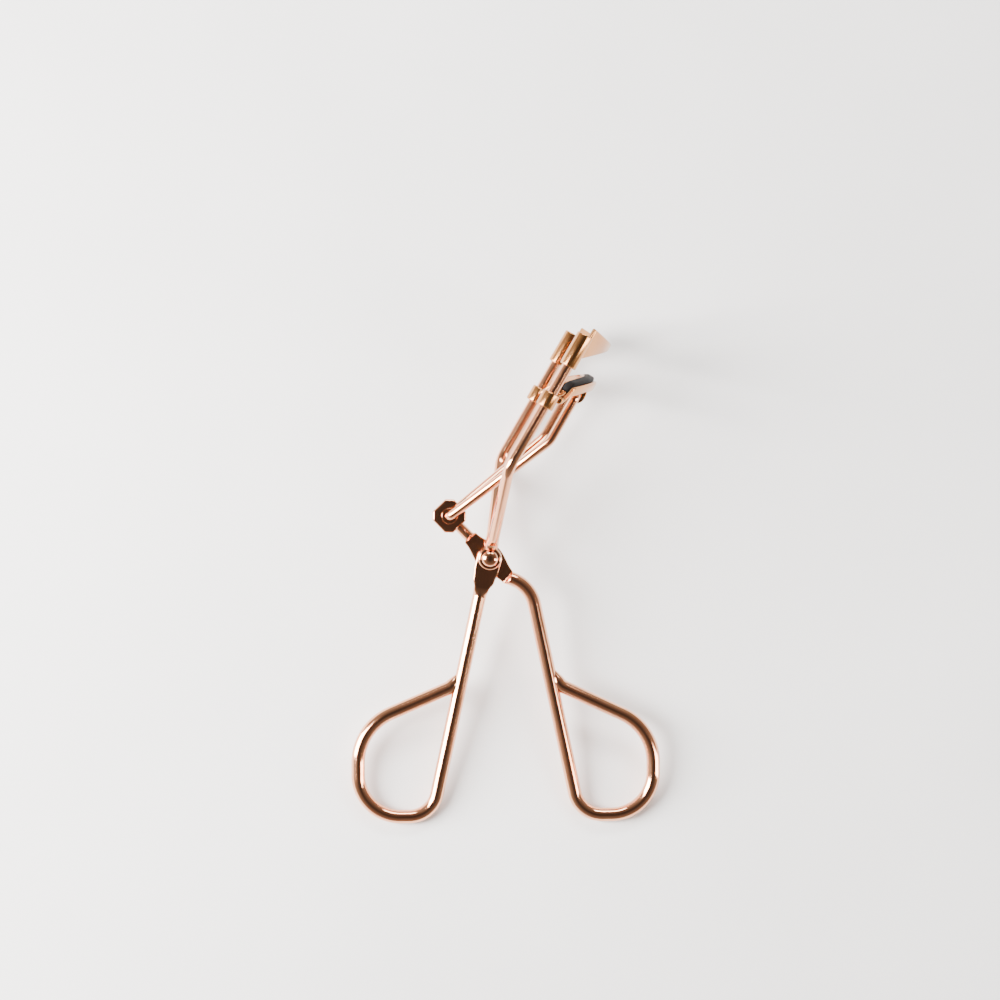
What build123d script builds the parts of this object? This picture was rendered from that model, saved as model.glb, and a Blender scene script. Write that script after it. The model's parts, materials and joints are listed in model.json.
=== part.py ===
from build123d import *
import math
import os

os.makedirs("parts", exist_ok=True)

# Eyelash curler, lying on its side. Millimetres, +Z up.
# The origin is the centre of the main rivet; Z is the rivet's axis.
# The two round rails stand one above the other, near (+Z) and far (-Z).

# driving dimensions
handle_wire = 2.9          # diameter of both handles' wire
flat_thick = 1.6           # pressed flats of the handles
stack_gap = 0.05           # running gap on each face of the moving flat
rivet_radius = 1.25
rivet_run = 0.05           # radial running clearance in the moving handle
rivet_head_radius = 1.75
rivet_head_high = 1.1
rivet_tail_high = 0.7
rivet_round = 0.9          # share of each head's height that its rim is rounded by
thumb_flat_radius = 2.6    # round tip of the thumb handle's flat
thumb_flat_mid = 2.5       # its half width half way down
thumb_flat_long = 7.4      # from the rivet to its shoulders
thumb_flat_end = 1.5       # half width at the shoulders
loop_bends = (6, 9, 11.5)  # bends round each finger loop
shank_bend = 9.5           # bend of the finger handle below its flat
neck_wide = 2.3
neck_start = 4.5           # from the rivet's centre along the arm to the neck's ends and bend
neck_turn = 8.2
neck_end = 9.8
neck_bend = 2.0
diamond_long = 11.4
diamond_wide = 5.6
diamond_neck = 1.6         # half width at the neck's end
diamond_shank = 1.5        # and at the shank's end
diamond_more = 0.6         # the shank's end reaches this much farther
swing_free = 0.6           # radius kept free round the thumb flat's tip

rail_wire = 2.3            # diameter of the two rails
rail_spread = 16.5         # each rail's distance from the mid-plane
rail_angle = 60.0          # direction of the straight rails, from +X
rail_length = 31.1         # from the knee to the top
knee_x = 3.3
knee_y = 20.1
knee_bend = 5.0
eyelet_radius = 2.45
eyelet_thick = 1.1
rail_lift = 0.17           # rail's underside above the eyelet's foot, where it starts
rail_root_x = 0.55
rail_root_y = 3.2
root_wall = 0.35           # eyelet metal round the rail's start
rail_tip = 0.3             # chamfer on the rails' tops

jaw_depth = 6.5            # how far the jaws bow out from the rails' plane
jaw_slope = 0.9            # rise along the rails for each mm of bow
upper_fall = -0.12         # the same for the upper jaw's top edge
upper_thick = 0.9          # sheet of the upper jaw
upper_high = 8.3           # at the rails
roll_under = 1.3           # how far the rolled ends reach below the sheet
roll_short = 2.2           # and how far they stop below its top
collar_wall = 0.8
guide_run = 0.08           # radial clearance of the sliding guide eyes
guide_high = 3.4
channel_wide = 3.6
channel_high = 2.2
groove_wide = 2.0
groove_deep = 1.4
groove_start = 1.6         # distance out from the rails' plane where the groove begins
pad_proud = 0.6            # pad above the channel's rim
pad_side = 0.05            # clearance of the pad on each side
guide_from_knee = 14.3     # lower face of the guide eyes at rest
channel_over_guide = 2.2   # channel's foot above that face, at the rails
jaw_open = 6.0             # pad to upper jaw, along the rails

link_wire = 1.9
link_spread = 10.4         # each link's distance from the mid-plane at the jaw
link_x = -8.5              # centre of the hole in the finger handle's paddle
link_y = 8.9
link_knee_x = 12.2
link_knee_y = 25.2
link_bend = 4.0
pin_bend = 1.1
pin_past = 0.7             # how far a link's end reaches out of its lug
pin_short = 0.1            # each link's end stops this far from the mid-plane, in the paddle
paddle_hole_free = 0.4     # the opened pivot: radial clearance in the paddle
paddle_side = 0.15         # gap between paddle and link
paddle_across = 7.0
lug_thick = 1.2
lug_run = 0.05
lug_side = 0.25            # gap between lug and link
lug_radius = 1.9
lug_in_jaw = 1.1           # how far a lug reaches up into the channel
relief_gap = 0.2           # lower jaw's clearance round the upper jaw's rolled ends
lug_along = 20.0           # hinge of the links, along the rails from the knee
lug_out = 5.1              # and outwards from the rails' plane

# worked out from them
rail_dir = Vector(math.cos(math.radians(rail_angle)), math.sin(math.radians(rail_angle)), 0)
out_dir = Vector(rail_dir.Y, -rail_dir.X, 0)
knee = Vector(knee_x, knee_y, 0)
jaw_plane = Plane(origin=knee, x_dir=out_dir, z_dir=rail_dir)
jaw_radius = (rail_spread**2 + jaw_depth**2) / (2 * jaw_depth)
jaw_centre = jaw_depth - jaw_radius
channel_foot = guide_from_knee + channel_over_guide
channel_rim = channel_foot + channel_high
pad_top = channel_rim + pad_proud
upper_foot = pad_top + jaw_open
guide_top = guide_from_knee + guide_high
lug_pin = knee + rail_dir * lug_along + out_dir * lug_out
thumb_face = stack_gap / 2
near_eyelet = thumb_face + flat_thick
finger_face = -stack_gap / 2 - flat_thick
far_eyelet = finger_face - stack_gap - eyelet_thick
rail_start_z = near_eyelet + rail_wire / 2 + rail_lift
rail_radius = rail_wire / 2
roll_radius = rail_radius + collar_wall
relief_radius = roll_radius + relief_gap
link_radius = link_wire / 2
link_start_z = flat_thick / 2 + paddle_side + link_radius
lug_face = link_spread - link_radius - lug_side


def wire(points, radii, diameter):
    """A round wire along straight runs joined by tangent arcs."""
    with BuildPart() as piece:
        with BuildLine() as path:
            FilletPolyline(*points, radius=radii)
        with BuildSketch(Plane(origin=path.line @ 0, z_dir=path.line % 0)):
            Circle(diameter / 2)
        sweep()
    return piece.part


def sloping_plane(along, slope):
    """A plane across the jaws at a height along the rails, rising outwards by its slope."""
    return Plane(origin=knee + rail_dir * along, z_dir=rail_dir - out_dir * slope)


def bowed_ring(inner, outer, foot, high, start=0.0, top_slope=jaw_slope):
    """A stretch of ring bowed out between the rails, its edges on sloping planes."""
    reach = 2 * jaw_radius
    with BuildPart() as piece:
        with BuildSketch(jaw_plane):
            with Locations((jaw_centre, 0)):
                Circle(outer)
                Circle(inner, mode=Mode.SUBTRACT)
            with Locations((start - reach, 0)):
                Rectangle(2 * reach, 4 * reach, mode=Mode.SUBTRACT)
        extrude(amount=foot + high + jaw_slope * reach)
        split(bisect_by=sloping_plane(foot, jaw_slope), keep=Keep.TOP)
        split(bisect_by=sloping_plane(foot + high, top_slope), keep=Keep.BOTTOM)
    return piece.part


# thumb handle: loop, shank and flat, fixed to the rails
thumb_route = [(-1.75, -6.5), (-12.2, -55.3), (-27.9, -55.3), (-27.9, -36.1), (-6.6, -26.9)]
thumb_wire = wire([(x, y, 0) for x, y in thumb_route], loop_bends, handle_wire)
flat_way = Vector(*thumb_route[0]).normalized()
flat_plane = Plane(origin=(0, 0, thumb_face), x_dir=Vector(-flat_way.Y, flat_way.X), z_dir=(0, 0, 1))
flat_tip_side = (thumb_flat_radius, 0)
flat_shoulder = (thumb_flat_end, -thumb_flat_long)
with BuildPart() as thumb_handle:
    add(thumb_wire)
    with BuildSketch(flat_plane):
        with BuildLine():
            Spline(flat_tip_side, (thumb_flat_mid, -thumb_flat_long / 2), flat_shoulder)
            mirror(about=Plane.YZ)
            Line(flat_shoulder, (-thumb_flat_end, -thumb_flat_long))
            ThreePointArc(flat_tip_side, (0, thumb_flat_radius), (-thumb_flat_radius, 0))
        make_face()
    extrude(amount=flat_thick)
    with Locations((0, 0, thumb_face + flat_thick)):
        Hole(rivet_radius, depth=flat_thick)
thumb_handle.part.label = "thumb_handle"
export_step(thumb_handle.part, "parts/thumb_handle.step")

# finger handle: loop, shank, diamond flat, neck and drilled paddle
finger_route = [(4.2, -3.75), (8.7, -5.85), (19.3, -55.2), (35.1, -55.2), (35.1, -36.7), (13.8, -26.7)]
finger_wire = wire([(x, y, 0) for x, y in finger_route], (shank_bend,) + loop_bends, handle_wire)
arm = Vector(link_x, link_y, 0)
arm_dir = arm.normalized()
neck_low = Vector(0, 0, finger_face + flat_thick / 2)
neck_route = [arm_dir * neck_start + neck_low, arm_dir * neck_turn, arm_dir * neck_end]
neck_wire = wire(neck_route, (neck_bend,), neck_wide)
diamond_end = -diamond_long / 2 - diamond_more
arm_plane = Plane(origin=(0, 0, finger_face), x_dir=arm_dir, z_dir=(0, 0, 1))
paddle_plane = Plane(origin=arm - Vector(0, 0, flat_thick / 2), x_dir=arm_dir, z_dir=(0, 0, 1))
with BuildPart() as finger_handle:
    add(finger_wire)
    add(neck_wire)
    with BuildSketch(arm_plane):
        with BuildLine():
            Polyline(
                (diamond_long / 2, diamond_neck), (0, diamond_wide / 2), (diamond_end, diamond_shank),
                (diamond_end, -diamond_shank), (0, -diamond_wide / 2), (diamond_long / 2, -diamond_neck),
                close=True,
            )
        make_face()
    extrude(amount=flat_thick)
    with BuildSketch(paddle_plane):
        RegularPolygon(paddle_across / 2, 8, major_radius=False)
    extrude(amount=flat_thick)
    with Locations(paddle_plane.offset(flat_thick)):
        Hole(link_radius + paddle_hole_free, depth=flat_thick)
    with Locations((0, 0, finger_face + flat_thick)):
        Hole(rivet_radius + rivet_run, depth=flat_thick)
    with BuildSketch(Plane.XY):
        Circle(thumb_flat_radius + swing_free)
    extrude(amount=handle_wire, mode=Mode.SUBTRACT)
    with BuildSketch(Plane.XY.offset(finger_face)):
        Circle(thumb_flat_radius + swing_free)
    extrude(amount=-handle_wire, mode=Mode.SUBTRACT)
finger_handle.part.label = "finger_handle"
export_step(finger_handle.part, "parts/finger_handle.step")

# rails: an eyelet under the rivet, a flare, and a straight run for the jaws
rail_top = knee + rail_dir * rail_length
rail_root = (rail_root_x, rail_root_y)
for name, side in (("rail_near", 1), ("rail_far", -1)):
    face = near_eyelet if side > 0 else far_eyelet
    shift = Vector(0, 0, 0 if side > 0 else -stack_gap)
    rail_route = [
        Vector(rail_root[0], rail_root[1], side * rail_start_z) + shift,
        knee + Vector(0, 0, side * rail_spread),
        rail_top + Vector(0, 0, side * rail_spread),
    ]
    rail_bar = wire(rail_route, (knee_bend,), rail_wire)
    with BuildPart() as rail:
        add(rail_bar)
        with BuildSketch(Plane.XY.offset(face)):
            Circle(eyelet_radius)
            with Locations(rail_root):
                Circle(rail_radius + root_wall)
        extrude(amount=eyelet_thick)
        with Locations((0, 0, face + eyelet_thick)):
            Hole(rivet_radius, depth=eyelet_thick)
        chamfer_face = rail.faces().sort_by(Axis(tuple(knee), tuple(rail_dir)))[-1]
        chamfer(chamfer_face.edges(), rail_tip)
    rail.part.label = name
    export_step(rail.part, "parts/" + name + ".step")

# rivet through the stack, domed on both ends
shank_low = far_eyelet
shank_high = near_eyelet + eyelet_thick
with BuildPart() as pivot_rivet:
    with BuildSketch(Plane.XY.offset(shank_low)):
        Circle(rivet_radius)
    extrude(amount=shank_high - shank_low)
    with BuildSketch(Plane.XY.offset(shank_high)):
        Circle(rivet_head_radius)
    extrude(amount=rivet_head_high)
    with BuildSketch(Plane.XY.offset(shank_low)):
        Circle(rivet_head_radius)
    extrude(amount=-rivet_tail_high)
    rims = pivot_rivet.edges().filter_by(GeomType.CIRCLE).sort_by(Axis.Z)
    fillet(rims[-1], rivet_head_high * rivet_round)
    fillet(rims[0], rivet_tail_high * rivet_round)
pivot_rivet.part.label = "pivot_rivet"
export_step(pivot_rivet.part, "parts/pivot_rivet.step")

# upper jaw: bowed sheet, its ends rolled round the rails
rail_spots = ((0, rail_spread), (0, -rail_spread))
upper_sheet = bowed_ring(
    jaw_radius - upper_thick / 2, jaw_radius + upper_thick / 2, upper_foot, upper_high, top_slope=upper_fall
)
with BuildPart() as upper_jaw:
    add(upper_sheet)
    with BuildSketch(jaw_plane.offset(upper_foot - roll_under)):
        with Locations(*rail_spots):
            Circle(roll_radius)
    extrude(amount=roll_under + upper_high - roll_short)
    with BuildSketch(jaw_plane.offset(upper_foot - roll_under)):
        with Locations(*rail_spots):
            Circle(rail_radius)
    extrude(amount=roll_under + 2 * upper_high, mode=Mode.SUBTRACT)
upper_jaw.part.label = "upper_jaw"
export_step(upper_jaw.part, "parts/upper_jaw.step")

# lower jaw: bowed channel, guide eyes on the rails, and two drilled lugs
channel = bowed_ring(jaw_radius - channel_wide / 2, jaw_radius + channel_wide / 2, channel_foot, channel_high)
groove_foot = channel_rim - groove_deep
groove_half = groove_wide / 2
groove_in = jaw_radius - groove_half
groove_out = jaw_radius + groove_half
groove = bowed_ring(groove_in, groove_out, groove_foot, channel_high, groove_start)
lug_high = channel_foot + jaw_slope * lug_out + lug_in_jaw - lug_along
with BuildPart() as lower_jaw:
    add(channel)
    with BuildSketch(jaw_plane.offset(guide_top)):
        with Locations(*rail_spots):
            Circle(relief_radius)
    extrude(amount=rail_length, mode=Mode.SUBTRACT)
    with BuildSketch(jaw_plane.offset(guide_from_knee)):
        with Locations(*rail_spots):
            Circle(roll_radius + guide_run)
    extrude(amount=guide_high)
    for side in (1, -1):
        lug_origin = lug_pin + Vector(0, 0, side * lug_face)
        with BuildSketch(Plane(origin=lug_origin, x_dir=out_dir, z_dir=(0, 0, side))):
            Circle(lug_radius)
            with Locations((0, side * lug_high / 2)):
                Rectangle(2 * lug_radius, lug_high)
        extrude(amount=-lug_thick)
    add(groove, mode=Mode.SUBTRACT)
    with BuildSketch(jaw_plane.offset(guide_from_knee)):
        with Locations(*rail_spots):
            Circle(rail_radius + guide_run)
    extrude(amount=rail_length, mode=Mode.SUBTRACT)
    with BuildSketch(Plane(origin=lug_pin - Vector(0, 0, link_spread), z_dir=(0, 0, 1))):
        Circle(link_radius + lug_run)
    extrude(amount=2 * link_spread, mode=Mode.SUBTRACT)
lower_jaw.part.label = "lower_jaw"
export_step(lower_jaw.part, "parts/lower_jaw.step")

# soft pad pressed into the channel
pad_start = relief_radius + pad_side
pad_high = groove_deep + pad_proud
pad_ring = bowed_ring(groove_in + pad_side, groove_out - pad_side, groove_foot, pad_high, pad_start)
with BuildPart() as rubber_pad:
    add(pad_ring)
rubber_pad.part.label = "rubber_pad"
export_step(rubber_pad.part, "parts/rubber_pad.step")

# link wires: pinned in the paddle at one end and in the jaw's lugs at the other
for name, side in (("link_near", 1), ("link_far", -1)):
    link_route = [
        (link_x, link_y, side * pin_short),
        (link_x, link_y, side * link_start_z),
        (link_knee_x, link_knee_y, side * link_spread),
        lug_pin + Vector(0, 0, side * link_spread),
        lug_pin + Vector(0, 0, side * (lug_face - lug_thick - pin_past)),
    ]
    link_bar = wire(link_route, (pin_bend, link_bend, pin_bend), link_wire)
    with BuildPart() as link:
        add(link_bar)
    link.part.label = name
    export_step(link.part, "parts/" + name + ".step")
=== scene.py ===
import json
import math

import bpy
import numpy as np
from mathutils import Matrix, Vector


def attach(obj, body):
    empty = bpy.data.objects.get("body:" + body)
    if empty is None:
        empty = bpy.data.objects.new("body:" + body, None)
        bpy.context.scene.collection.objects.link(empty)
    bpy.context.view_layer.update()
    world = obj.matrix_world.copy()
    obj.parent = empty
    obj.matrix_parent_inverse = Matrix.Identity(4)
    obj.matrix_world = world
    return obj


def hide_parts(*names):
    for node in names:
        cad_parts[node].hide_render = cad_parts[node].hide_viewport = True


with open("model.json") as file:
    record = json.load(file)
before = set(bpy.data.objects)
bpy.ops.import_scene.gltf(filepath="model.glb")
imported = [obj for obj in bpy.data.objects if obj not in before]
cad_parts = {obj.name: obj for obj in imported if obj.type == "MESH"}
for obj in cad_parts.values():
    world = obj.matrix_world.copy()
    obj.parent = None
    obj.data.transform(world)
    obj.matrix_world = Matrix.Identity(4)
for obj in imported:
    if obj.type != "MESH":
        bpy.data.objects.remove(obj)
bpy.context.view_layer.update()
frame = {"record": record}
print("frame loaded")

mm = 0.001
zAxis = np.array([0.0, 0.0, 1.0])
behaviour = frame["record"]["behaviour"]
slideJoint = next(j for j in behaviour["joints"] if j["name"] == "jaw_slide")
swingJoint = next(j for j in behaviour["joints"] if j["name"] == "link_swing")
railWay = np.array(slideJoint["axis"])          # the way the rails and the jaws' sheet run
outWay = np.cross(railWay, zAxis)               # outwards, the way the jaws bow
lugPin = np.array(swingJoint["pos_m"]) / mm
knee = np.array([3.3, 20.1, 0.0])               # where the rails turn straight
grainStretch = 0.03                             # how much the drawn streaks are stretched along a wire
bulkGrain = 0.6                                 # and how fine they are on turned and stamped pieces


# surface tools work in millimetres; makePiece turns a piece into metres

def ease(x):
    x = np.clip(x, 0.0, 1.0)
    return x * x * (3 - 2 * x)


def unit(v):
    return v / np.linalg.norm(v, axis=-1, keepdims=True)


def roundedRoute(corners, bends, step=0.3):
    # straight runs joined by arcs tangent to both; an arc leaves its corner by r tan(turn / 2)
    corners = np.array(corners, float)
    spots = [corners[:1]]
    for before, corner, after, bend in zip(corners, corners[1:], corners[2:], bends):
        inWay, onward = unit(corner - before), unit(after - corner)
        turn = math.acos(np.clip(inWay @ onward, -1, 1))
        reach = bend * math.tan(turn / 2)
        first = corner - inWay * reach
        centreWay = unit(onward - inWay)
        centre = corner + centreWay * math.hypot(bend, reach)
        arc = np.linspace(0, turn, max(3, int(bend * turn / step) + 2))[:, None]
        spots.append(centre + (first - centre) * np.cos(arc) + inWay * bend * np.sin(arc))
    spots.append(corners[-1:])
    spots = np.concatenate(spots)
    along = np.concatenate([[0], np.cumsum(np.linalg.norm(np.diff(spots, axis=0), axis=1))])
    even = np.linspace(0, along[-1], int(along[-1] / step) + 2)
    return np.stack([np.interp(even, along, spots[:, k]) for k in range(3)], 1)


def lengthAlong(route):
    return np.concatenate([[0], np.cumsum(np.linalg.norm(np.diff(route, axis=0), axis=1))])


def skinGrid(grid, grain, ring=False):
    # quads over a grid whose second way is closed; the first is capped by fans, or closed as a ring
    rows, sides = grid.shape[:2]
    last = rows if ring else rows - 1
    i, k = np.meshgrid(np.arange(last), np.arange(sides), indexing="ij")
    nextRow, nextSide = (i + 1) % rows, (k + 1) % sides
    here, onward = i * sides, nextRow * sides
    quads = np.stack([here + k, onward + k, onward + nextSide, here + nextSide], -1)
    faces = quads.reshape(-1, 4).tolist()
    verts, grains = grid.reshape(-1, 3), grain.reshape(-1, 3)
    for row in () if ring else (0, rows - 1):
        pole = len(verts)
        verts = np.vstack([verts, grid[row].mean(0)])
        grains = np.vstack([grains, grain[row].mean(0)])
        a = row * sides + np.arange(sides)
        b = row * sides + (np.arange(sides) + 1) % sides
        first, second = (a, b) if row == 0 else (b, a)
        faces += np.stack([first, second, np.full(sides, pole)], 1).tolist()
    return verts, faces, grains


def sweep(route, halfWide, halfHigh, lift=0.0, power=2.0, up=zAxis, sides=32, endRound=(0.35, 0.35)):
    # a superellipse |x/a|^p + |y/b|^p = 1 carried along the route; both ends are rounded off
    count = len(route)
    sizes = (halfWide, halfHigh, lift, power)
    halfWide, halfHigh, lift, power = (np.broadcast_to(np.asarray(v, float), count) for v in sizes)
    along = lengthAlong(route)
    ends = np.ones(count)
    for distance, size in ((along, endRound[0]), (along[-1] - along, endRound[1])):
        if size > 0:
            ends = ends * np.sqrt(np.clip(1 - np.clip(1 - distance / size, 0, 0.995) ** 2, 0, 1))
    tangent = unit(np.gradient(route, axis=0))
    side = unit(np.cross(tangent, up))
    top = np.cross(side, tangent)
    turn = np.linspace(0, 2 * np.pi, sides, endpoint=False)
    c, s = np.cos(turn), np.sin(turn)
    soft = 2 / power[:, None]
    x = np.sign(c) * np.abs(c) ** soft * (halfWide * ends)[:, None]
    y = np.sign(s) * np.abs(s) ** soft * (halfHigh * ends)[:, None]
    grid = route[:, None] + side[:, None] * x[..., None] + top[:, None] * (y + lift[:, None])[..., None]
    grain = np.stack([x, y, np.broadcast_to(along[:, None], x.shape) * grainStretch], -1)
    return skinGrid(grid, grain)


def denseEnds(route, size=0.4, rows=6):
    # more rows close to both ends, so that the rounded ends are smooth
    along = lengthAlong(route)
    near = size * (1 - np.cos(np.linspace(0, np.pi / 2, rows)))
    inner = along[(along > size * 1.2) & (along < along[-1] - size * 1.2)]
    spots = np.concatenate([near, inner, along[-1] - near[::-1]])
    return np.stack([np.interp(spots, along, route[:, k]) for k in range(3)], 1)


def lathe(profile, centre, axis, first, sides=64, hollow=True):
    # an outline of (radius, height) turned about an axis; a solid one runs from pole to pole
    profile = np.array(profile, float)
    axis, first = unit(np.array(axis, float)), unit(np.array(first, float))
    second = np.cross(axis, first)
    turn = np.linspace(0, 2 * np.pi, sides, endpoint=False)
    ways = first * np.cos(turn)[:, None] + second * np.sin(turn)[:, None]
    grid = np.array(centre) + ways[:, None] * profile[None, :, :1] + axis * profile[None, :, 1:]
    if not hollow:
        grid = grid[::-1].swapaxes(0, 1)
    return skinGrid(grid, grid * bulkGrain, ring=hollow)


def ringOutline(inner, outer, low, high, edge, perCorner=5):
    # a rectangle with quarter-round corners, run so that the turned ring faces outwards
    quarter = np.linspace(0, np.pi / 2, perCorner)
    corners = (
        (outer - edge, high - edge), (inner + edge, high - edge),
        (inner + edge, low + edge), (outer - edge, low + edge))
    spots = []
    for k, (cornerRadius, cornerHigh) in enumerate(corners):
        a = quarter + k * np.pi / 2
        spots.append(np.stack([cornerRadius + edge * np.cos(a), cornerHigh + edge * np.sin(a)], 1))
    return np.concatenate(spots)


def drilledPlate(outline, hole, halfThick, centre, first, second, edge=0.25):
    # rings from the hole's wall over one face to the rim and back over the other face
    first, second = unit(np.array(first, float)), unit(np.array(second, float))
    normal = np.cross(first, second)
    outline = np.array(outline, float)
    turn = np.arctan2(outline[:, 1], outline[:, 0])
    inner = np.stack([np.cos(turn), np.sin(turn)], 1) * hole
    way, reach = unit(outline - inner), np.linalg.norm(outline - inner, axis=1)
    quarter = np.linspace(0, np.pi / 2, 5)
    half = [(0, edge * (1 - np.cos(q)), halfThick - edge * (1 - np.sin(q))) for q in quarter]
    half += [(1, -edge * (1 - np.sin(q)), halfThick - edge * (1 - np.cos(q))) for q in quarter]
    rings = []
    for rim, offset, height in half + [(r, o, -h) for r, o, h in half[::-1]]:
        flat = inner + way * (reach * rim + offset)[:, None]
        rings.append(np.array(centre) + flat[:, :1] * first + flat[:, 1:] * second + normal * height)
    grid = np.stack(rings[::-1], 1)
    return skinGrid(grid, grid * bulkGrain, ring=True)


def makePiece(name, parts, body, nodes, finish):
    # joins the parts' surfaces in one mesh, in metres, with the grain kept as an attribute
    verts, grains, faces, start = [], [], [], 0
    for partVerts, partFaces, partGrain in parts:
        verts.append(partVerts)
        grains.append(partGrain)
        faces += [[v + start for v in face] for face in partFaces]
        start += len(partVerts)
    verts, grains = np.concatenate(verts) * mm, np.concatenate(grains) * mm
    mesh = bpy.data.meshes.new(name)
    mesh.from_pydata(verts.tolist(), [], faces)
    grainField = mesh.attributes.new("grain", "FLOAT_VECTOR", "POINT")
    grainField.data.foreach_set("vector", grains.astype(np.float32).ravel())
    mesh.polygons.foreach_set("use_smooth", np.ones(len(mesh.polygons), bool))
    mesh.materials.append(finish)
    mesh.update()
    piece = bpy.data.objects.new(name, mesh)
    bpy.context.collection.objects.link(piece)
    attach(piece, body)
    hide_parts(*nodes)
    print("made", name, len(mesh.polygons), "faces")
    return piece


def noise(tree, vector, scale, detail, rough=0.5):
    node = tree.nodes.new("ShaderNodeTexNoise")
    for socket, number in (("Scale", scale), ("Detail", detail), ("Roughness", rough)):
        node.inputs[socket].default_value = number
    tree.links.new(vector, node.inputs["Vector"])
    return node.outputs["Fac"]


def spread(tree, value, source, goal):
    # a straight line from one range of values to another
    node = tree.nodes.new("ShaderNodeMapRange")
    for socket, number in zip(("From Min", "From Max", "To Min", "To Max"), (*source, *goal)):
        node.inputs[socket].default_value = number
    tree.links.new(value, node.inputs["Value"])
    return node.outputs["Result"]


def tintRamp(tree, value, stops):
    # tints by their place on the ramp, from the first stop to the last
    node = tree.nodes.new("ShaderNodeValToRGB")
    elements = node.color_ramp.elements
    for element, (place, tint) in zip(elements, (stops[0], stops[-1])):
        element.position, element.color = place, tint
    for place, tint in stops[1:-1]:
        elements.new(place).color = tint
    tree.links.new(value, node.inputs["Fac"])
    return node.outputs["Color"]


def bumpedValue(tree, height, distance, normalInput):
    bump = tree.nodes.new("ShaderNodeBump")
    bump.inputs["Strength"].default_value = 1.0
    bump.inputs["Distance"].default_value = distance
    tree.links.new(height, bump.inputs["Height"])
    tree.links.new(bump.outputs["Normal"], normalInput)


skinLook = dict(
    rough=0.55, streakScale=2600, streakDetail=3, cloudScale=140, cloudDetail=2,
    speckScale=5200, speckDetail=2, speckRough=0.7, pits=(0.66, 0.74), clouds=(0.3, 0.7),
    cloudTint=(0.1, 0.6), cloudRough=(-0.02, 0.05), streakRough=0.18,
    markTint=0.5, markRough=0.2, markDeep=0.6,
)


def makePlatedSkin(look):
    # drawn streaks, cloudy tint and fine handling marks of polished plating
    group = bpy.data.node_groups.new("platedSkin", "ShaderNodeTree")
    white = (1, 1, 1, 1)
    for name, kind, value in (
        ("Light Tint", "NodeSocketColor", white), ("Deep Tint", "NodeSocketColor", white),
        ("Streaks", "NodeSocketFloat", 0.5), ("Gloss", "NodeSocketFloat", 0.15),
        ("Marks", "NodeSocketFloat", 0.5),
    ):
        group.interface.new_socket(name=name, in_out="INPUT", socket_type=kind).default_value = value
    for name, kind in (
        ("Color", "NodeSocketColor"), ("Roughness", "NodeSocketFloat"), ("Height", "NodeSocketFloat"),
    ):
        group.interface.new_socket(name=name, in_out="OUTPUT", socket_type=kind)
    new, link = group.nodes.new, group.links.new
    given, out = new("NodeGroupInput"), new("NodeGroupOutput")
    grain, where = new("ShaderNodeAttribute"), new("ShaderNodeTexCoord")
    grain.attribute_name = "grain"

    def maths(operation, a, b, clamp=False):
        node = new("ShaderNodeMath")
        node.operation, node.use_clamp = operation, clamp
        for socket, value in zip(node.inputs, (a, b)):
            if isinstance(value, (int, float)):
                socket.default_value = value
            else:
                link(value, socket)
        return node.outputs[0]

    spot = where.outputs["Object"]
    streak = noise(group, grain.outputs["Vector"], look["streakScale"], look["streakDetail"], look["rough"])
    cloud = noise(group, spot, look["cloudScale"], look["cloudDetail"], look["rough"])
    speck = noise(group, spot, look["speckScale"], look["speckDetail"], look["speckRough"])
    mark = maths("MULTIPLY", spread(group, speck, look["pits"], (0.0, 1.0)), given.outputs["Marks"])
    streaky = maths("MULTIPLY", maths("SUBTRACT", streak, 0.5), given.outputs["Streaks"])

    # the tint deepens in clouds, streaks and marks
    depth = maths("ADD", spread(group, cloud, look["clouds"], look["cloudTint"]), streaky)
    depth = maths("ADD", depth, maths("MULTIPLY", mark, look["markTint"]), True)
    tintMix = new("ShaderNodeMix")
    tintMix.data_type = "RGBA"
    link(depth, tintMix.inputs["Factor"])
    link(given.outputs["Light Tint"], tintMix.inputs[6])
    link(given.outputs["Deep Tint"], tintMix.inputs[7])
    link(tintMix.outputs[2], out.inputs["Color"])

    # the roughness is the given gloss, a little more or less by the same three
    rough = maths("ADD", given.outputs["Gloss"], maths("MULTIPLY", streaky, look["streakRough"]))
    dulled = spread(group, cloud, look["clouds"], look["cloudRough"])
    dulled = maths("ADD", dulled, maths("MULTIPLY", mark, look["markRough"]))
    link(maths("ADD", rough, dulled, True), out.inputs["Roughness"])
    link(maths("SUBTRACT", streaky, maths("MULTIPLY", mark, look["markDeep"])), out.inputs["Height"])
    return group


platedSkin = makePlatedSkin(skinLook)
wireLook = dict(
    light=(0.93, 0.46, 0.26, 1), deep=(0.74, 0.28, 0.14, 1), streaks=0.6, gloss=0.12, marks=0.5,
    coat=0.25, coatRough=0.04, relief=0.000004,
)
# the jaws' sheet tint is darker than the wire's: partly their own golden plating, partly painted shade for
# the shade the jaws sit in
shadedSheetLook = dict(
    wireLook, light=(0.64, 0.30, 0.11, 1), deep=(0.48, 0.19, 0.065, 1), streaks=0.25, gloss=0.18, marks=0.6,
    coat=0.1,
)
rivetLook = dict(wireLook, streaks=0.15, gloss=0.10)


def makePlated(name, look):
    finish = bpy.data.materials.new(name)
    finish.use_nodes = True
    tree = finish.node_tree
    shader = tree.nodes["Principled BSDF"]
    skin = tree.nodes.new("ShaderNodeGroup")
    skin.node_tree = platedSkin
    for socket, key in (
        ("Light Tint", "light"), ("Deep Tint", "deep"), ("Streaks", "streaks"), ("Gloss", "gloss"),
        ("Marks", "marks"),
    ):
        skin.inputs[socket].default_value = look[key]
    tree.links.new(skin.outputs["Color"], shader.inputs["Base Color"])
    tree.links.new(skin.outputs["Roughness"], shader.inputs["Roughness"])
    shader.inputs["Metallic"].default_value = 1.0
    shader.inputs["Coat Weight"].default_value = look["coat"]
    shader.inputs["Coat Roughness"].default_value = look["coatRough"]
    bumpedValue(tree, skin.outputs["Height"], look["relief"], shader.inputs["Normal"])
    return finish


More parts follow.
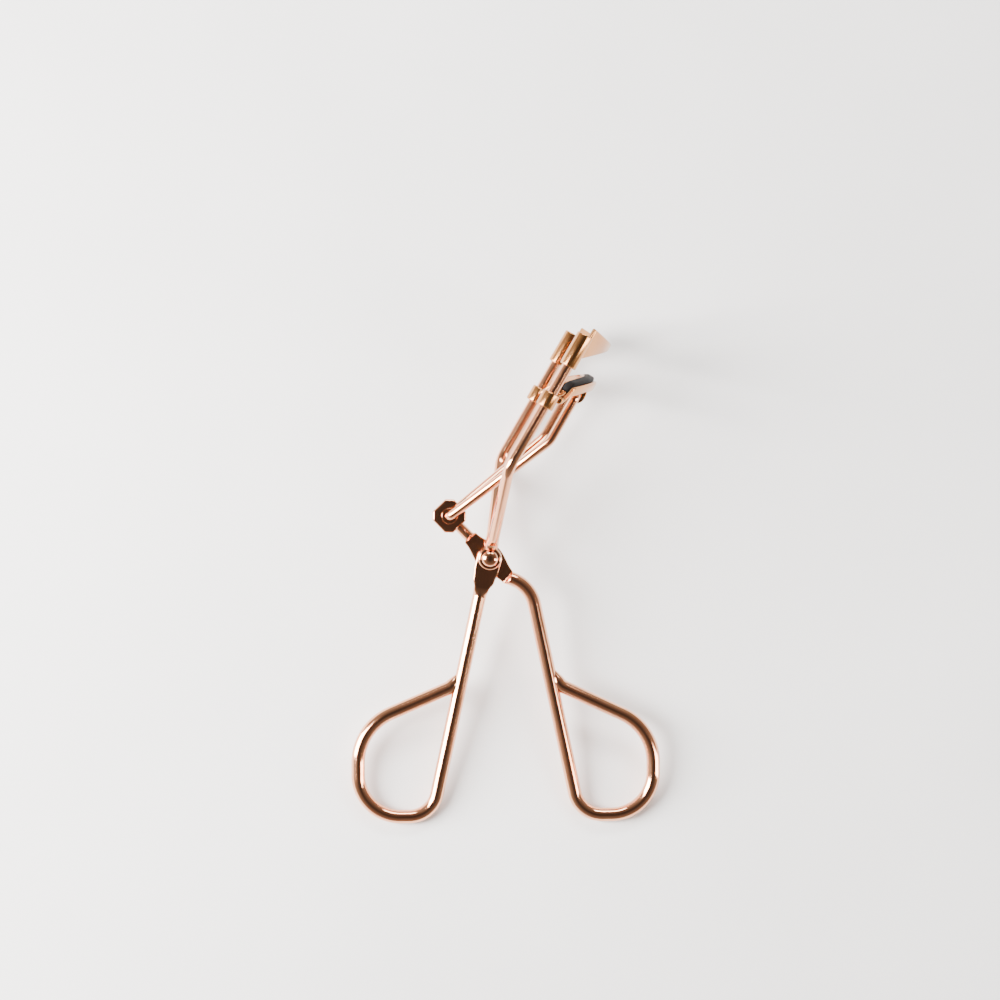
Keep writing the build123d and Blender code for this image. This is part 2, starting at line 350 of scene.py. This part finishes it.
rubberLook = dict(
    fineScale=4500, fineDetail=3, slowScale=260, slowDetail=4, relief=0.00003, specular=0.15,
    tints=((0.35, (0.004, 0.004, 0.005, 1)), (0.75, (0.018, 0.016, 0.015, 1))), rough=(0.5, 0.78),
)


def makeRubber(look):
    # soft black rubber: a fine matt grain, paler dust in the hollows of a slow noise
    finish = bpy.data.materials.new("padRubber")
    finish.use_nodes = True
    tree = finish.node_tree
    shader = tree.nodes["Principled BSDF"]
    spot = tree.nodes.new("ShaderNodeTexCoord").outputs["Object"]
    fine = noise(tree, spot, look["fineScale"], look["fineDetail"])
    slow = noise(tree, spot, look["slowScale"], look["slowDetail"])
    shader.inputs["Specular IOR Level"].default_value = look["specular"]
    tree.links.new(tintRamp(tree, slow, look["tints"]), shader.inputs["Base Color"])
    tree.links.new(spread(tree, slow, (0, 1), look["rough"]), shader.inputs["Roughness"])
    bumpedValue(tree, fine, look["relief"], shader.inputs["Normal"])
    return finish


drawnWire = makePlated("drawnWire", wireLook)
# the jaws' finish: its darker tint is partly painted shade
shadedStampedSheet = makePlated("shadedStampedSheet", shadedSheetLook)
rivetFinish = makePlated("rivetFinish", rivetLook)
padRubber = makeRubber(rubberLook)
print("materials made")

# the flats and eyelets stacked on the rivet, and the gap between two that turn on each other
stack = dict(
    flat=1.6, gap=0.05, eyelet=1.1, eyeletRadius=2.45,
    rivet=1.25, headRadius=1.75, headHigh=1.1, tailHigh=0.7,
)
wireRadius = 1.45
squarePower = 9         # the superellipse's power where a wire is pressed flat
roundPower = 2          # and where it is round
weld = dict(long=3.0, radius=0.75)
flatHalf = stack["flat"] / 2
thumbLift = stack["gap"] / 2 + flatHalf
skinGap = 0.01          # between two touching surfaces of one body
nearFace = stack["gap"] / 2 + stack["flat"]
farFace = -nearFace - stack["gap"] - stack["eyelet"]

thumbSizes = dict(
    route=[(0.68, 2.51, 0), (-1.75, -6.5, 0), (-12.2, -55.3, 0), (-27.9, -55.3, 0), (-27.9, -36.1, 0),
           (-8.2, -27.6, 0), (-6.2, -24.9, 0)],
    bends=[8, 6, 9, 11.5, 2.5], step=0.25, tipRound=2.6, tipRows=14,
    flatWide=[(0, 2.62), (5.0, 2.62), (7.4, 2.3), (9.4, 1.6)], flatStop=8.8, wireStart=10.9,
)


def smoothStations(along, stations):
    # each station is (distance, value); between two of them the value eases over
    distances, values = zip(*stations)
    result = np.full(len(along), float(values[0]))
    for d0, d1, v0, v1 in zip(distances, distances[1:], values, values[1:]):
        part = ease((along - d0) / max(d1 - d0, 1e-6))
        result = np.where(along >= d0, v0 + (v1 - v0) * part, result)
    return result


def weldTaper(along):
    # the loop's end thins out where it is welded along the shank
    thin = weld["radius"] / wireRadius
    return thin + (1 - thin) * ease((along[-1] - along) / weld["long"])


def makeThumbHandle(own):
    route = denseEnds(roundedRoute(own["route"], own["bends"], own["step"]), own["tipRound"], own["tipRows"])
    along = lengthAlong(route)
    flatStop, wireStart = own["flatStop"], own["wireStart"]
    wide = smoothStations(along, [*own["flatWide"], (wireStart, wireRadius)])
    high = smoothStations(along, [(0, flatHalf), (flatStop, flatHalf), (wireStart, wireRadius)])
    lift = smoothStations(along, [(0, thumbLift), (flatStop, thumbLift), (wireStart, 0)])
    power = smoothStations(along, [(0, squarePower), (flatStop, squarePower), (wireStart, roundPower)])
    # the tip is a half circle seen from above, at full thickness
    tip = np.sqrt(np.clip(1 - np.clip(1 - along / own["tipRound"], 0, 0.999) ** 2, 0, 1))
    taper = weldTaper(along)
    wire = sweep(route, wide * tip * taper, high * taper, lift, power, sides=48, endRound=(0, 0.4))
    return makePiece("thumbHandle", [wire], "frame", ["thumb_handle"], drawnWire)


paddleSpot = np.array([-8.5, 8.9, 0.0])
armWay = unit(paddleSpot)
fingerSizes = dict(
    route=[(4.08, -4.27, 0), (8.7, -5.85, 0), (19.3, -55.2, 0), (35.1, -55.2, 0), (35.1, -36.7, 0),
           (15.2, -27.36, 0), (13.4, -24.2, 0)],
    bends=[2.0, 7.5, 6, 9, 11.5, 2.5], step=0.2, neckStart=9.4, neckRadius=1.15, neckLift=-0.45, press=0.35,
    flatEnds=5.8, flatWide=2.85, shoulder=1.6,
    paddleHalf=3.15, paddleCut=3.55, paddleHole=1.35, paddleBevel=0.42,
)


def makeFingerHandle(own):
    corners = [armWay * own["neckStart"], *own["route"]]
    route = denseEnds(roundedRoute(corners, own["bends"], own["step"]), 0.3)
    along = lengthAlong(route)
    # along the wire: round neck, pressed shoulder, the diamond's widest place at the rivet, shoulder, wire
    middle = own["neckStart"]
    start, end = middle - own["flatEnds"], middle + own["flatEnds"]
    neckEnd, wireStart, neck = start - own["press"], end + own["press"], own["neckRadius"]
    wide = smoothStations(along, [
        (0, neck), (neckEnd, neck), (start, own["shoulder"]), (middle, own["flatWide"]),
        (end, own["shoulder"]), (wireStart, wireRadius)])
    high = smoothStations(along, [
        (0, neck), (neckEnd, neck), (start, flatHalf), (end, flatHalf), (wireStart, wireRadius)])
    lift = smoothStations(along, [
        (0, 0), (neckEnd, own["neckLift"]), (start, -thumbLift), (end, -thumbLift), (wireStart, 0)])
    power = smoothStations(along, [
        (0, roundPower), (neckEnd, roundPower), (start, squarePower), (end, squarePower),
        (wireStart, roundPower)])
    taper = weldTaper(along)
    wire = sweep(route, wide * taper, high * taper, lift, power, sides=48, endRound=(0, 0.4))
    # a square along the arm with its corners cut: at each turn the nearer of the two edges
    turn = np.linspace(0, 2 * np.pi, 96, endpoint=False)
    toSide = (turn + np.pi / 4) % (np.pi / 2) - np.pi / 4
    toCut = turn % (np.pi / 2) - np.pi / 4
    radius = np.minimum(own["paddleHalf"] / np.cos(toSide), own["paddleCut"] / np.cos(toCut))
    outline = np.stack([np.cos(turn), np.sin(turn)], 1) * radius[:, None]
    across, hole, bevel = np.cross(zAxis, armWay), own["paddleHole"], own["paddleBevel"]
    parts = [wire, drilledPlate(outline, hole, flatHalf, paddleSpot, armWay, across, bevel)]
    return makePiece("fingerHandle", parts, "finger_lever", ["finger_handle"], drawnWire)


rivetSizes = dict(domePower=2.3, pole=0.05, rows=12)


def makeRivet(own):
    high, low = nearFace + stack["eyelet"], farFace
    # each head is a superellipse dome; the rows run from the tail's pole to the head's
    last = np.arccos((own["pole"] / stack["headRadius"]) ** (own["domePower"] / 2))
    quarter = np.linspace(0, last, own["rows"])
    soft = 2 / own["domePower"]
    radius, rise = stack["headRadius"] * np.cos(quarter) ** soft, np.sin(quarter) ** soft
    tail = np.stack([radius, low - stack["tailHigh"] * rise], 1)[::-1]
    head = np.stack([radius, high + stack["headHigh"] * rise], 1)
    shank = np.array([(stack["rivet"], low), (stack["rivet"], high)])
    dome = lathe(np.concatenate([tail, shank, head]), (0, 0, 0), (0, 0, 1), (1, 0, 0), 48, hollow=False)
    return makePiece("rivet", [dome], "frame", ["pivot_rivet"], rivetFinish)


railSizes = dict(
    radius=1.15, spread=16.5, length=31.1, flatStart=(0.35, 1.75), root=(0.55, 3.2), rootHigh=1.32,
    bends=[2.2, 5.0], flatWide=[(0, 1.25), (1.2, 1.35)], flatHigh=[(0, 0.5), (1.2, 0.62)], roundFrom=3.4,
    power=2.2, eyeEdge=0.42,
)


def makeRail(name, node, side, own):
    shift = 0 if side > 0 else -stack["gap"]
    eyeletMiddle = side * (nearFace + stack["eyelet"] / 2) + shift
    start = np.array([*own["flatStart"], eyeletMiddle])
    root = np.array([*own["root"], side * (nearFace + own["rootHigh"]) + shift])
    turnSpot = knee + zAxis * side * own["spread"]
    top = turnSpot + railWay * own["length"]
    route = denseEnds(roundedRoute([start, root, turnSpot, top], own["bends"], 0.25), 0.35)
    along = lengthAlong(route)
    wide = smoothStations(along, [*own["flatWide"], (own["roundFrom"], own["radius"])])
    high = smoothStations(along, [*own["flatHigh"], (own["roundFrom"], own["radius"])])
    # the tangent never runs along this way, so the section doesn't twist
    upWay = unit(np.array([0.25, -0.6, 1.0 * side]))
    bar = sweep(route, wide, high, 0.0, own["power"], up=upWay, sides=36, endRound=(0.3, 0.35))
    low = nearFace if side > 0 else farFace
    bore = stack["rivet"] + skinGap
    outline = ringOutline(bore, stack["eyeletRadius"], low, low + stack["eyelet"], own["eyeEdge"])
    eye = lathe(outline, (0, 0, 0), (0, 0, 1), (1, 0, 0), 56)
    return makePiece(name, [bar, eye], "frame", [node], drawnWire)


# both jaws follow one arc; the heights are along the rails from the knee, and open is the gap at rest
bow = dict(
    depth=6.5, slope=0.9, spread=railSizes["spread"], guideFoot=14.3, guideHigh=3.4, channelFoot=16.5,
    channelHigh=2.2, padProud=0.6, open=6.0,
)
bowRadius = (bow["spread"] ** 2 + bow["depth"] ** 2) / (2 * bow["depth"])
bowCentre = bow["depth"] - bowRadius
channelRim = bow["channelFoot"] + bow["channelHigh"]
upperFoot = channelRim + bow["padProud"] + bow["open"]


def bowSpots(outMin, count):
    # angles of the bow from one end to the other, and how far out each one stands
    last = math.acos((outMin - bowCentre) / bowRadius)
    angle = np.linspace(-last, last, count)
    return angle, bowCentre + bowRadius * np.cos(angle)


def bowSkin(angle, across, up):
    # a section given as (across, along the rails) for each angle, carried round the bow
    radius = bowRadius + across
    out = bowCentre + radius * np.cos(angle)[:, None]
    level = radius * np.sin(angle)[:, None]
    grid = knee + out[..., None] * outWay + up[..., None] * railWay + level[..., None] * zAxis
    grain = np.stack([across, up, angle[:, None] * bowRadius * grainStretch + across * 0], -1)
    return skinGrid(grid[:, ::-1], grain[:, ::-1])


def roundedBox(halfWide, low, high, edge, perCorner=6):
    # rectangle sections with quarter-round corners; every size may change along the bow
    changing = np.broadcast_arrays(halfWide, low, high, edge)
    halfWide, low, high, edge = (np.asarray(v, float)[:, None] for v in changing)
    a = np.concatenate([np.linspace(0, np.pi / 2, perCorner) + k * np.pi / 2 for k in range(4)])
    cornerX = np.repeat([1, -1, -1, 1], perCorner)
    isTop = np.repeat([1, 1, 0, 0], perCorner)
    across = cornerX * (halfWide - edge) + edge * np.cos(a)
    up = np.where(isTop, high - edge, low + edge) + edge * np.sin(a)
    return across, up


upperSizes = dict(
    start=1.15, rows=121, thick=0.9, high=8.3, fall=-0.12, softEdge=0.75, rollUnder=1.3, rollShort=2.2,
    rollWall=0.6, rollEdge=0.25,
)


def makeUpperJaw(own):
    angle, out = bowSpots(own["start"], own["rows"])
    foot = upperFoot + bow["slope"] * out
    top = upperFoot + own["high"] + own["fall"] * out
    halfThick = np.full(len(angle), own["thick"] / 2)
    across, up = roundedBox(halfThick, foot, top, halfThick * own["softEdge"])
    parts = [bowSkin(angle, across, up)]
    railRadius = railSizes["radius"]
    rollLong = own["rollUnder"] + own["high"] - own["rollShort"]
    outline = ringOutline(railRadius + skinGap, railRadius + own["rollWall"], 0, rollLong, own["rollEdge"])
    for side in (1, -1):
        rollFoot = knee + railWay * (upperFoot - own["rollUnder"]) + zAxis * side * bow["spread"]
        parts.append(lathe(outline, rollFoot, railWay, zAxis, 48))
    return makePiece("upperJaw", parts, "frame", ["upper_jaw"], shadedStampedSheet)


lowerSizes = dict(
    start=1.1, rows=181, wide=3.6, groove=2.0, grooveDeep=1.4, lip=0.38, closedLip=0.15, foot=0.5,
    tongueFoot=16.3, tongueTop=17.6, footStep=(1.2, 1.4), topStep=(1.6, 0.9), grooveStep=(1.7, 0.6),
    guideWall=0.65, guideRun=0.08, guideEdge=0.3,
    lugRadius=1.9, lugHole=1.0, lugThick=1.2, lugFace=9.2, lugTop=1.4, lugShoulder=2.5, lugEdge=0.15,
)


def channelSection(own, foot, top, groove):
    # outline of the channel from its outer foot round both lips and back, groove 0 to 1 opens it
    half, inner = own["wide"] / 2, own["groove"] / 2
    quarter = np.linspace(0, np.pi / 2, 5)
    lip = own["lip"] * (own["closedLip"] + (1 - own["closedLip"]) * groove)
    floor = top - own["grooveDeep"] * groove
    spots = []

    def arc(x, y, r, start, sense):
        for q in quarter:
            a = start + sense * q
            spots.append((x + r * np.cos(a), y + r * np.sin(a)))

    soft = np.full_like(top, own["foot"])
    arc(half - soft, foot + soft, soft, -np.pi / 2, 1)
    arc(half - lip, top - lip, lip, 0, 1)
    arc(inner + lip, top - lip, lip, np.pi / 2, 1)
    spots.append((np.full_like(top, inner), floor))
    spots.append((np.full_like(top, -inner), floor))
    arc(-inner - lip, top - lip, lip, 0, 1)
    arc(-half + lip, top - lip, lip, np.pi / 2, 1)
    arc(-half + soft, foot + soft, soft, np.pi, 1)
    across = np.stack([np.broadcast_to(x, top.shape) for x, y in spots], 1)
    up = np.stack([y for x, y in spots], 1)
    return across, up


def makeLowerJaw(own):
    # a plain tongue at each guide eye opens into the channel; each step is (how far out, over how much)
    angle, out = bowSpots(own["start"], own["rows"])
    footStep, topStep, grooveStep = (
        ease((out - begin) / over) for begin, over in (own["footStep"], own["topStep"], own["grooveStep"]))
    foot = own["tongueFoot"] + (bow["channelFoot"] + bow["slope"] * out - own["tongueFoot"]) * footStep
    top = own["tongueTop"] + (channelRim + bow["slope"] * out - own["tongueTop"]) * topStep
    across, up = channelSection(own, foot, top, grooveStep)
    parts = [bowSkin(angle, across, up)]
    bore = railSizes["radius"] + own["guideRun"]
    outline = ringOutline(bore, bore + own["guideWall"], 0, bow["guideHigh"], own["guideEdge"])
    turn = np.linspace(0, 2 * np.pi, 72, endpoint=False)
    lugRim = np.stack([np.cos(turn), np.sin(turn)], 1) * own["lugRadius"]
    # a lug's rim is a circle below; above, it widens to a flat top inside the channel's floor
    upperRim = own["lugTop"] * ease(lugRim[:, 1] / own["lugRadius"] * own["lugShoulder"])
    lugRim[:, 1] = np.where(lugRim[:, 1] > 0, upperRim, lugRim[:, 1])
    lugHalf, hole, edge = own["lugThick"] / 2, own["lugHole"], own["lugEdge"]
    for side in (1, -1):
        eyeFoot = knee + railWay * bow["guideFoot"] + zAxis * side * bow["spread"]
        parts.append(lathe(outline, eyeFoot, railWay, zAxis, 48))
        middle = lugPin + zAxis * side * (own["lugFace"] - lugHalf)
        parts.append(drilledPlate(lugRim, hole, lugHalf, middle, outWay, railWay, edge))
    return makePiece("lowerJaw", parts, "carriage", ["lower_jaw"], shadedStampedSheet)


padSizes = dict(start=2.35, rows=141, half=0.95, round=0.55, sink=0.02, endRound=0.8, endHigh=0.55)


def makePad(own):
    angle, out = bowSpots(own["start"], own["rows"])
    rim = channelRim + bow["slope"] * out
    low, high = rim - lowerSizes["grooveDeep"] + own["sink"], rim + bow["padProud"]
    # both ends are rounded down over their last stretch
    near = np.minimum(angle - angle[0], angle[-1] - angle) * bowRadius
    ends = np.sqrt(np.clip(1 - np.clip(1 - near / own["endRound"], 0, 0.98) ** 2, 0, 1))
    high = low + (high - low) * (own["endHigh"] + (1 - own["endHigh"]) * ends)
    across, up = roundedBox(np.full(len(angle), own["half"]), low, high, np.full(len(angle), own["round"]))
    parts = [bowSkin(angle, across, up)]
    return makePiece("curlPad", parts, "carriage", ["rubber_pad"], padRubber)


linkSizes = dict(
    radius=0.95, startLow=0.1, startHigh=1.9, knee=(12.2, 25.2), spread=10.4, pinEnd=7.3,
    bends=[1.1, 4.0, 1.1],
    collar=(0.9, 1.65), collarLow=0.82, collarHigh=0.94, collarEdge=0.05,
)


def makeLink(name, node, side, own):
    # from inside the paddle's hole, out to the knee, and back inwards through the lug
    corners = [
        paddleSpot + zAxis * side * own["startLow"], paddleSpot + zAxis * side * own["startHigh"],
        (*own["knee"], side * own["spread"]),
        lugPin + zAxis * side * own["spread"], lugPin + zAxis * side * own["pinEnd"],
    ]
    route = denseEnds(roundedRoute(corners, own["bends"], 0.2), 0.3)
    along = unit(np.array(own["knee"]) - paddleSpot[:2])
    upWay = np.array([-along[1], along[0], 0])
    wire = sweep(route, own["radius"], own["radius"], up=upWay, sides=32, endRound=(0.3, 0.3))
    # the collar lies on the paddle and hides the hole's clearance
    ring = ringOutline(*own["collar"], own["collarLow"], own["collarHigh"], own["collarEdge"])
    collar = lathe(ring, paddleSpot, zAxis * side, (1, 0, 0), 48)
    return makePiece(name, [wire, collar], "links", [node], drawnWire)


pieces = [
    makeThumbHandle(thumbSizes), makeFingerHandle(fingerSizes), makeRivet(rivetSizes),
    makeRail("railNear", "rail_near", 1, railSizes), makeRail("railFar", "rail_far", -1, railSizes),
    makeUpperJaw(upperSizes), makeLowerJaw(lowerSizes), makePad(padSizes),
    makeLink("linkNear", "link_near", 1, linkSizes), makeLink("linkFar", "link_far", -1, linkSizes),
]
print("all pieces made")

studio = dict(
    floorHalf=1.6, loopsBelow=-20.0, halvings=40, cloudScale=14, cloudDetail=5, rough=(0.68, 0.82),
    tints=((0.3, (0.80, 0.79, 0.785, 1)), (0.7, (0.86, 0.85, 0.845, 1))),
)


def floorLean(own):
    # slope and height of the plane that touches both the loops and the head from below, by halving
    verts = np.concatenate([np.array([v.co[:] for v in piece.data.vertices]) for piece in pieces])
    y, high = verts[:, 1], verts[:, 2]
    loops = y < own["loopsBelow"] * mm
    low, steep = 0.0, 1.0
    for _ in range(own["halvings"]):
        slope = (low + steep) / 2
        level = high + slope * y
        if level[loops].min() < level[~loops].min():
            steep = slope
        else:
            low = slope
    return slope, level.min()


def makeFloor(own):
    slope, level = floorLean(own)
    half = own["floorHalf"]
    square = ((-half, -half), (half, -half), (half, half), (-half, half))
    corners = [(x, y, level - slope * y) for x, y in square]
    mesh = bpy.data.meshes.new("floor")
    mesh.from_pydata(corners, [], [(0, 1, 2, 3)])
    paper = bpy.data.materials.new("floorPaper")
    paper.use_nodes = True
    tree = paper.node_tree
    shader = tree.nodes["Principled BSDF"]
    spot = tree.nodes.new("ShaderNodeTexCoord").outputs["Object"]
    cloud = noise(tree, spot, own["cloudScale"], own["cloudDetail"])
    tree.links.new(tintRamp(tree, cloud, own["tints"]), shader.inputs["Base Color"])
    tree.links.new(spread(tree, cloud, (0, 1), own["rough"]), shader.inputs["Roughness"])
    mesh.materials.append(paper)
    floor = bpy.data.objects.new("floor", mesh)
    bpy.context.collection.objects.link(floor)


lamps = dict(
    leftSoft=dict(spot=(-0.42, 0.05, 0.26), wide=0.22, long=0.44, power=17.0, tint=(1.0, 0.98, 0.96)),
    rightSoft=dict(spot=(0.50, -0.10, 0.25), wide=0.12, long=0.50, power=3.5, tint=(1.0, 0.95, 0.90)),
    backSoft=dict(spot=(0.05, 0.50, 0.28), wide=0.50, long=0.12, power=4.0, tint=(1.0, 1.0, 1.0)),
)


def makeLamp(name, own):
    # a soft rectangle that faces the rivet
    lamp = bpy.data.lights.new(name, "AREA")
    lamp.shape, lamp.size, lamp.size_y = "RECTANGLE", own["wide"], own["long"]
    lamp.energy, lamp.color = own["power"], own["tint"]
    holder = bpy.data.objects.new(name, lamp)
    holder.location = own["spot"]
    holder.rotation_mode = "QUATERNION"
    holder.rotation_quaternion = (-Vector(own["spot"])).to_track_quat("-Z", "Y")
    bpy.context.collection.objects.link(holder)


# tints by height, from the horizon up, and strengths from left to right
skyLook = dict(
    tints=(
        (0.25, (0.66, 0.64, 0.62, 1)), (0.68, (0.32, 0.29, 0.27, 1)), (0.91, (0.20, 0.175, 0.16, 1)),
        (0.98, (0.085, 0.072, 0.068, 1))),
    strength=(1.0, 0.55),
)


def makeSky(own):
    # pale all round and brighter on the left; darker overhead, where the studio has no lamp
    world = bpy.data.worlds.new("studioSky")
    bpy.context.scene.world = world
    world.use_nodes = True
    tree = world.node_tree
    back = tree.nodes["Background"]
    where, part = tree.nodes.new("ShaderNodeTexCoord"), tree.nodes.new("ShaderNodeSeparateXYZ")
    tree.links.new(where.outputs["Generated"], part.inputs["Vector"])
    tree.links.new(tintRamp(tree, part.outputs["Z"], own["tints"]), back.inputs["Color"])
    tree.links.new(spread(tree, part.outputs["X"], (-1, 1), own["strength"]), back.inputs["Strength"])


makeFloor(studio)
makeSky(skyLook)
for name, lamp in lamps.items():
    makeLamp(name, lamp)

# focal is the lens's length when the picture is frame wide
view = dict(
    tiltX=3.8, tiltY=2.95, roll=0.16, distance=600.0, aim=(2.27, 12.23), focal=2828.5, frame=1000, sensor=36,
)


def makeCamera(own):
    # turned about X, then Y, then Z; it stands off along its own axis from the aim
    tiltX, tiltY, roll = (
        Matrix.Rotation(math.radians(own[key]), 3, axis)
        for key, axis in (("tiltX", "X"), ("tiltY", "Y"), ("roll", "Z")))
    turned = roll @ tiltY @ tiltX
    camera = bpy.data.cameras.new("camera")
    camera.sensor_width = own["sensor"]
    camera.lens = own["focal"] / own["frame"] * camera.sensor_width
    camera.clip_start, camera.clip_end = 0.01, 10
    holder = bpy.data.objects.new("camera", camera)
    back = turned.transposed()
    spot = back @ Vector((*own["aim"], own["distance"])) * mm
    holder.matrix_world = Matrix.Translation(spot) @ back.to_4x4()
    bpy.context.collection.objects.link(holder)
    bpy.context.scene.camera = holder


makeCamera(view)
print("floor, lamps and camera made")
